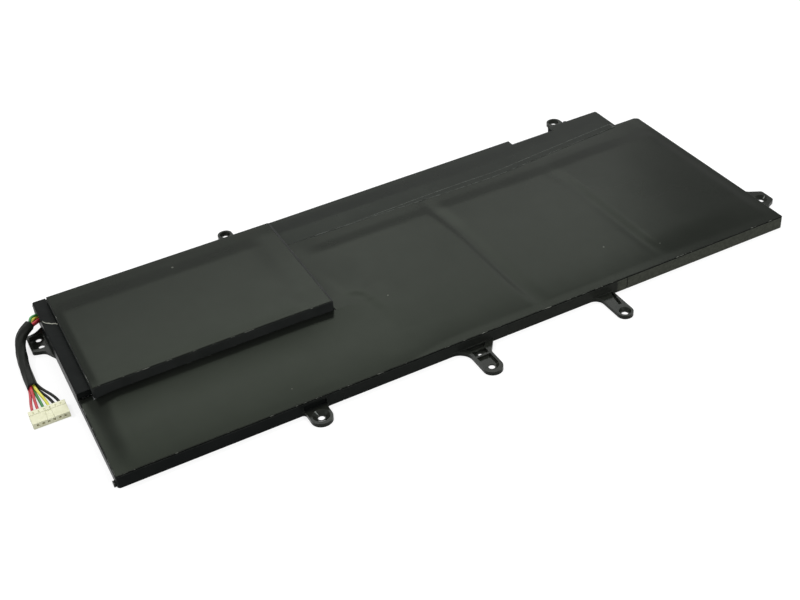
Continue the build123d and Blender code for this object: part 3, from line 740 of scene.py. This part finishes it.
# Tape over the wire exit, torn off along a wavy line
TAPE = 0.12
TAPE_HEIGHT = 8.12
TAPE_BACK = 107.6
TAPE_LEFT = 0.45
TAPE_RIGHT = 5.2
TORN_ROWS = 3


def exit_patch():
    bm = bmesh.new()
    across = np.linspace(TAPE_LEFT, TAPE_RIGHT, 22)
    along = np.linspace(0, 1, 34)
    grid = []
    for x in across:
        wave = 0.5 * noise.noise(Vector((x * 0.9, 4.2, 0))) + 0.35 * noise.noise(Vector((x * 2.3, 1.2, 0)))
        front = 93.5 - 4.9 * ((x - TAPE_LEFT) / (TAPE_RIGHT - TAPE_LEFT)) ** 0.6 + wave
        column = []
        for t in along:
            y = front + (TAPE_BACK - front) * t ** 1.4
            lift = 0.035 * noise.noise(Vector((x * 0.7, y * 0.35, 6.0)))
            column.append(bm.verts.new(at(x, y, TAPE_HEIGHT + max(0.0, lift))))
        grid.append(column)
    for i in range(len(across) - 1):
        for j in range(len(along) - 1):
            face = bm.faces.new((grid[i][j], grid[i + 1][j], grid[i + 1][j + 1], grid[i][j + 1]))
            face.smooth = True
            face.material_index = 1 if j < TORN_ROWS else 0
    obj = mesh_object("exit_patch", bm)
    thicken(obj, TAPE)
    obj.data.materials.append(tape)
    obj.data.materials.append(tape_cut)
    return obj


patch = exit_patch()
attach(patch, "root")
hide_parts("exit_tape")

# Floor, light and world
FLOOR_COLOUR = (0.34, 0.34, 0.34, 1)
FLOOR_GLOW = 0.76
FLOOR_DROP = 0.00002
WORLD_LIGHT = 0.55
# Lamps: direction, distance, width, height, radiance and roll in degrees
LAMPS = [
    ("back_box", (0.270, 0.722, 0.637), 3.0, 1.84, 0.67, 2.8, 13.0),
    ("side_box", (0.170, 0.735, 0.656), 3.0, 1.11, 0.63, 1.3, 14.5),
    ("front_box", (0.10, -1.0, 0.30), 2.2, 2.0, 0.9, 1.6, 0.0),
    ("left_box", (-1.0, 0.15, 0.55), 1.3, 0.9, 0.7, 0.6, 0.0),
    ("key_box", (-0.54, 0.30, 0.76), 1.2, 0.14, 0.14, 55.0, 0.0),
    ("spark_box", (0.50, -0.27, 0.80), 1.2, 0.14, 0.14, 55.0, 0.0),
]


def light_path(tree):
    """1 for rays that show the background: seen directly, mirrored or through glass."""
    path = tree.nodes.new("ShaderNodeLightPath")
    total = path.outputs["Is Camera Ray"]
    for other in ("Is Glossy Ray", "Is Transmission Ray"):
        total = math_node(tree, "MAXIMUM", total, path.outputs[other])
    return total


def pale_floor():
    bm = bmesh.new()
    bmesh.ops.create_grid(bm, x_segments=8, y_segments=8, size=4.0)
    floor = mesh_object("floor", bm)
    floor.location.z = -FLOOR_DROP
    mat = bpy.data.materials.new("floor")
    mat.use_nodes = True
    tree = mat.node_tree
    tree.nodes.clear()
    out = tree.nodes.new("ShaderNodeOutputMaterial")
    diffuse = tree.nodes.new("ShaderNodeBsdfDiffuse")
    diffuse.inputs["Color"].default_value = FLOOR_COLOUR
    glow = tree.nodes.new("ShaderNodeEmission")
    tree.links.new(span(tree, light_path(tree), 0.0, FLOOR_GLOW), glow.inputs["Strength"])
    both = tree.nodes.new("ShaderNodeAddShader")
    tree.links.new(diffuse.outputs["BSDF"], both.inputs[0])
    tree.links.new(glow.outputs["Emission"], both.inputs[1])
    tree.links.new(both.outputs["Shader"], out.inputs["Surface"])
    floor.data.materials.append(mat)


def soft_box(name, direction, distance, width, height, radiance, roll):
    """Rectangular lamp that faces the object, rolled about its own axis."""
    data = bpy.data.lights.new(name, "AREA")
    data.shape = "RECTANGLE"
    data.size = width
    data.size_y = height
    data.energy = radiance * pi * width * height
    lamp = add_object(name, data)
    away = Vector(direction).normalized()
    lamp.location = away * distance
    turn = away.to_track_quat("Z", "Y") @ Quaternion((0, 0, 1), radians(roll))
    lamp.rotation_euler = turn.to_euler()


def white_world():
    world = bpy.data.worlds.new("world")
    scene.world = world
    world.use_nodes = True
    tree = world.node_tree
    tree.nodes.clear()
    out = tree.nodes.new("ShaderNodeOutputWorld")
    glow = tree.nodes.new("ShaderNodeBackground")
    tree.links.new(span(tree, light_path(tree), WORLD_LIGHT, 1.0), glow.inputs["Strength"])
    glow.inputs["Color"].default_value = (1, 1, 1, 1)
    tree.links.new(glow.outputs["Background"], out.inputs["Surface"])


pale_floor()
for lamp in LAMPS:
    soft_box(*lamp)
white_world()
scene.view_settings.view_transform = "Standard"
